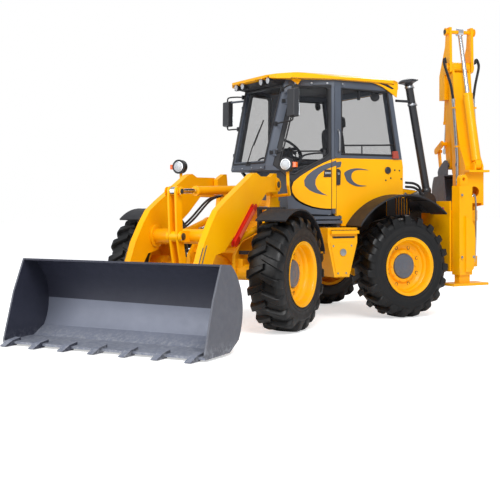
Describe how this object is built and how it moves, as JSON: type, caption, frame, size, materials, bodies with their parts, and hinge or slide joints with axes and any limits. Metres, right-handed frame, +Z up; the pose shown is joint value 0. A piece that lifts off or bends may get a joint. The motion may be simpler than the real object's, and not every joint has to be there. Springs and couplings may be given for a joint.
{
  "type": "articulated backhoe loader",
  "caption": "Articulated backhoe loader: front Z-bar bucket, glazed cab, lugged tyres, side-shift backhoe folded at the rear and vertical stabilizer legs.",
  "frame": {"origin": "on the ground under the middle of the whole machine's box", "axes": "+X forwards along the rear frame, +Y to the driver's left, +Z up"},
  "size_m": [7.0014, 4.1996, 3.9663],
  "materials": {
    "yellow": "glossy yellow paint",
    "frame_grey": "satin dark grey paint",
    "bucket_grey": "satin slate grey paint",
    "black": "matt black",
    "tyre": "black rubber",
    "glass": "tinted",
    "chrome": "hard chrome",
    "red": "red paint",
    "lamp": "clear lens",
    "seat": "black cloth"
  },
  "bodies": {
    "rear_frame": {"rear_chassis": "yellow", "rear_axle": "yellow", "engine": "frame_grey", "slide_frame": "yellow", "rear_mudguards": "black", "step_tanks": "yellow", "cab_frame": "frame_grey", "side_panels": "yellow", "engine_hood": "yellow", "cab_glass": "glass", "cab_roof": "yellow", "roof_lamps": "lamp", "seat": "seat", "steering_console": "frame_grey", "exhaust_stack": "black"},
    "front_frame": {"front_chassis": "yellow", "front_axle": "yellow", "front_fenders": "black", "headlamps": "black"},
    "front_left_wheel": {"front_left_tyre": "tyre", "front_left_rim": "yellow"},
    "front_right_wheel": {"front_right_tyre": "tyre", "front_right_rim": "yellow"},
    "rear_left_wheel": {"rear_left_tyre": "tyre", "rear_left_rim": "yellow"},
    "rear_right_wheel": {"rear_right_tyre": "tyre", "rear_right_rim": "yellow"},
    "left_door": {"left_door": "yellow", "left_door_glass": "glass"},
    "right_door": {"right_door": "yellow", "right_door_glass": "glass"},
    "loader_arms": {"loader_arms": "yellow", "safety_strut": "red"},
    "loader_bucket": {"loader_bucket": "bucket_grey"},
    "bellcrank": {"bellcrank": "yellow"},
    "bucket_link": {"bucket_link": "yellow"},
    "tilt_cylinder_barrel": {"tilt_cylinder_barrel": "yellow"},
    "tilt_cylinder_rod": {"tilt_cylinder_rod": "chrome"},
    "lift_cylinder_barrel": {"lift_cylinder_barrel": "yellow"},
    "lift_cylinder_rod": {"lift_cylinder_rod": "chrome"},
    "carriage": {"carriage": "yellow"},
    "swing_post": {"swing_post": "yellow"},
    "boom": {"boom": "yellow"},
    "dipper": {"dipper": "yellow"},
    "hoe_bucket": {"hoe_bucket": "bucket_grey"},
    "hoe_lever": {"hoe_lever": "yellow"},
    "hoe_link": {"hoe_link": "yellow"},
    "boom_cylinder_barrel": {"boom_cylinder_barrel": "yellow"},
    "boom_cylinder_rod": {"boom_cylinder_rod": "chrome"},
    "dipper_cylinder_barrel": {"dipper_cylinder_barrel": "yellow"},
    "dipper_cylinder_rod": {"dipper_cylinder_rod": "chrome"},
    "bucket_cylinder_barrel": {"bucket_cylinder_barrel": "yellow"},
    "bucket_cylinder_rod": {"bucket_cylinder_rod": "chrome"},
    "stabilizer_left": {"stabilizer_leg_left": "yellow"},
    "stabilizer_right": {"stabilizer_leg_right": "yellow"}
  },
  "joints": [
    {"name": "articulation", "type": "hinge", "parent": "rear_frame", "child": "front_frame", "pos_m": [-0.18538, -0.89981, 0.8], "axis": [0, 0, 1], "range_deg": [-74, 6]},
    {"name": "front_left_wheel_roll", "type": "hinge", "parent": "front_frame", "child": "front_left_wheel", "pos_m": [0.29906, 0.55476, 0.66], "axis": [-0.5592, 0.829, 0], "continuous": true},
    {"name": "front_right_wheel_roll", "type": "hinge", "parent": "front_frame", "child": "front_right_wheel", "pos_m": [1.34475, -0.99554, 0.66], "axis": [-0.5592, 0.829, 0], "continuous": true},
    {"name": "rear_left_wheel_roll", "type": "hinge", "parent": "rear_frame", "child": "rear_left_wheel", "pos_m": [-1.71538, 0.03519, 0.66], "axis": [0, 1, 0], "continuous": true},
    {"name": "rear_right_wheel_roll", "type": "hinge", "parent": "rear_frame", "child": "rear_right_wheel", "pos_m": [-1.71538, -1.83481, 0.66], "axis": [0, 1, 0], "continuous": true},
    {"name": "left_door_hinge", "type": "hinge", "parent": "rear_frame", "child": "left_door", "pos_m": [-0.06762, -0.37662, 2], "axis": [-0.2305, 0.0657, 0.9709], "range_deg": [-48, 0]},
    {"name": "right_door_hinge", "type": "hinge", "parent": "rear_frame", "child": "right_door", "pos_m": [-0.06762, -1.42299, 2], "axis": [-0.2305, -0.0657, 0.9709], "range_deg": [0, 48]},
    {"name": "arm_lift", "type": "hinge", "parent": "front_frame", "child": "loader_arms", "pos_m": [0.24572, -0.60903, 1.7], "axis": [0.5592, -0.829, 0], "range_deg": [0, 73]},
    {"name": "bucket_tilt", "type": "hinge", "parent": "loader_arms", "child": "loader_bucket", "pos_m": [2.00328, 0.57646, 0.25], "axis": [-0.5592, 0.829, 0], "range_deg": [-40, 100]},
    {"name": "bellcrank_pivot", "type": "hinge", "parent": "loader_arms", "child": "bellcrank", "pos_m": [1.57218, 0.28568, 1.1], "axis": [-0.5592, 0.829, 0], "range_deg": [-31, 13]},
    {"name": "bucket_link_pivot", "type": "hinge", "parent": "loader_bucket", "child": "bucket_link", "pos_m": [2.06711, 0.61952, 0.45], "axis": [-0.5592, 0.829, 0], "range_deg": [-84, 34.2]},
    {"name": "tilt_cylinder_trunnion", "type": "hinge", "parent": "front_frame", "child": "tilt_cylinder_barrel", "pos_m": [0.3452, -0.54192, 1.64], "axis": [0.5592, -0.829, 0], "range_deg": [-1, 77.39]},
    {"name": "tilt_cylinder_extend", "type": "slide", "parent": "tilt_cylinder_barrel", "child": "tilt_cylinder_rod", "axis": [0.8287, 0.559, -0.0265], "range_m": [-0.266, 0.1124]},
    {"name": "lift_cylinder_trunnion", "type": "hinge", "parent": "front_frame", "child": "lift_cylinder_barrel", "pos_m": [0.3452, -0.54192, 1.25], "axis": [0.5592, -0.829, 0], "range_deg": [-1, 72.57]},
    {"name": "lift_cylinder_extend", "type": "slide", "parent": "lift_cylinder_barrel", "child": "lift_cylinder_rod", "axis": [0.8082, 0.5452, -0.2225], "range_m": [-0.01, 0.5799]},
    {"name": "side_shift", "type": "slide", "parent": "rear_frame", "child": "carriage", "axis": [0, 1, 0], "range_m": [-1.48, 0]},
    {"name": "swing", "type": "hinge", "parent": "carriage", "child": "swing_post", "pos_m": [-3.08538, -0.15981, 0.9], "axis": [0, 0, 1], "range_deg": [-165, 15]},
    {"name": "boom_lift", "type": "hinge", "parent": "swing_post", "child": "boom", "pos_m": [-3.13714, -0.35299, 0.76], "axis": [0.9659, -0.2588, 0], "range_deg": [0, 110]},
    {"name": "dipper_crowd", "type": "hinge", "parent": "boom", "child": "dipper", "pos_m": [-3.18244, -0.52203, 3.4], "axis": [-0.9659, 0.2588, 0], "range_deg": [0, 115]},
    {"name": "hoe_bucket_curl", "type": "hinge", "parent": "dipper", "child": "hoe_bucket", "pos_m": [-3.22773, -0.69107, 2.02], "axis": [0.9659, -0.2588, 0], "range_deg": [-80, 0]},
    {"name": "hoe_lever_pivot", "type": "hinge", "parent": "dipper", "child": "hoe_lever", "pos_m": [-3.24585, -0.75868, 2.328], "axis": [0.9659, -0.2588, 0], "range_deg": [-80, 0]},
    {"name": "hoe_link_pivot", "type": "hinge", "parent": "hoe_lever", "child": "hoe_link", "pos_m": [-3.29865, -0.95573, 2.233], "axis": [0.9659, -0.2588, 0], "range_deg": [0, 80]},
    {"name": "boom_cylinder_trunnion", "type": "hinge", "parent": "swing_post", "child": "boom_cylinder_barrel", "pos_m": [-3.1255, -0.30953, 1.079], "axis": [-0.9659, 0.2588, 0], "range_deg": [-124.97, 1]},
    {"name": "boom_cylinder_extend", "type": "slide", "parent": "boom_cylinder_barrel", "child": "boom_cylinder_rod", "axis": [0.0014, 0.0052, 1], "range_m": [-0.01, 0.4485]},
    {"name": "dipper_cylinder_trunnion", "type": "hinge", "parent": "boom", "child": "dipper_cylinder_barrel", "pos_m": [-3.04009, 0.00923, 1.99], "axis": [-0.9659, 0.2588, 0], "range_deg": [-1, 16.46]},
    {"name": "dipper_cylinder_extend", "type": "slide", "parent": "dipper_cylinder_barrel", "child": "dipper_cylinder_rod", "axis": [-0.0698, -0.2605, 0.9629], "range_m": [-0.7344, 0.01]},
    {"name": "bucket_cylinder_trunnion", "type": "hinge", "parent": "dipper", "child": "bucket_cylinder_barrel", "pos_m": [-3.27044, -0.85045, 3.28], "axis": [-0.9659, 0.2588, 0], "range_deg": [-1.97, 1]},
    {"name": "bucket_cylinder_extend", "type": "slide", "parent": "bucket_cylinder_barrel", "child": "bucket_cylinder_rod", "axis": [-0.0268, -0.1, -0.9946], "range_m": [-0.3105, 0.01]},
    {"name": "stabilizer_left_drop", "type": "slide", "parent": "rear_frame", "child": "stabilizer_left", "axis": [0, 0, -1], "range_m": [0, 0.5]},
    {"name": "stabilizer_right_drop", "type": "slide", "parent": "rear_frame", "child": "stabilizer_right", "axis": [0, 0, -1], "range_m": [0, 0.5]}
  ],
  "couplings": [
    {"joint": "bellcrank_pivot", "follows": "bucket_tilt", "ratio": -0.3},
    {"joint": "bucket_link_pivot", "follows": "bucket_tilt", "ratio": -0.83},
    {"joint": "tilt_cylinder_trunnion", "follows": "arm_lift", "ratio": 1.0465},
    {"joint": "tilt_cylinder_extend", "follows": "bucket_tilt", "m_per_rad": -0.14668},
    {"joint": "lift_cylinder_trunnion", "follows": "arm_lift", "ratio": 0.9804},
    {"joint": "lift_cylinder_extend", "follows": "arm_lift", "m_per_rad": 0.44732},
    {"joint": "hoe_lever_pivot", "follows": "hoe_bucket_curl", "ratio": 1},
    {"joint": "hoe_link_pivot", "follows": "hoe_bucket_curl", "ratio": -1},
    {"joint": "boom_cylinder_trunnion", "follows": "boom_lift", "ratio": -1.127},
    {"joint": "boom_cylinder_extend", "follows": "boom_lift", "m_per_rad": 0.22839},
    {"joint": "dipper_cylinder_trunnion", "follows": "dipper_crowd", "ratio": 0.13444},
    {"joint": "dipper_cylinder_extend", "follows": "dipper_crowd", "m_per_rad": -0.36089},
    {"joint": "bucket_cylinder_trunnion", "follows": "hoe_bucket_curl", "ratio": 0.012115},
    {"joint": "bucket_cylinder_extend", "follows": "hoe_bucket_curl", "m_per_rad": 0.2152}
  ]
}
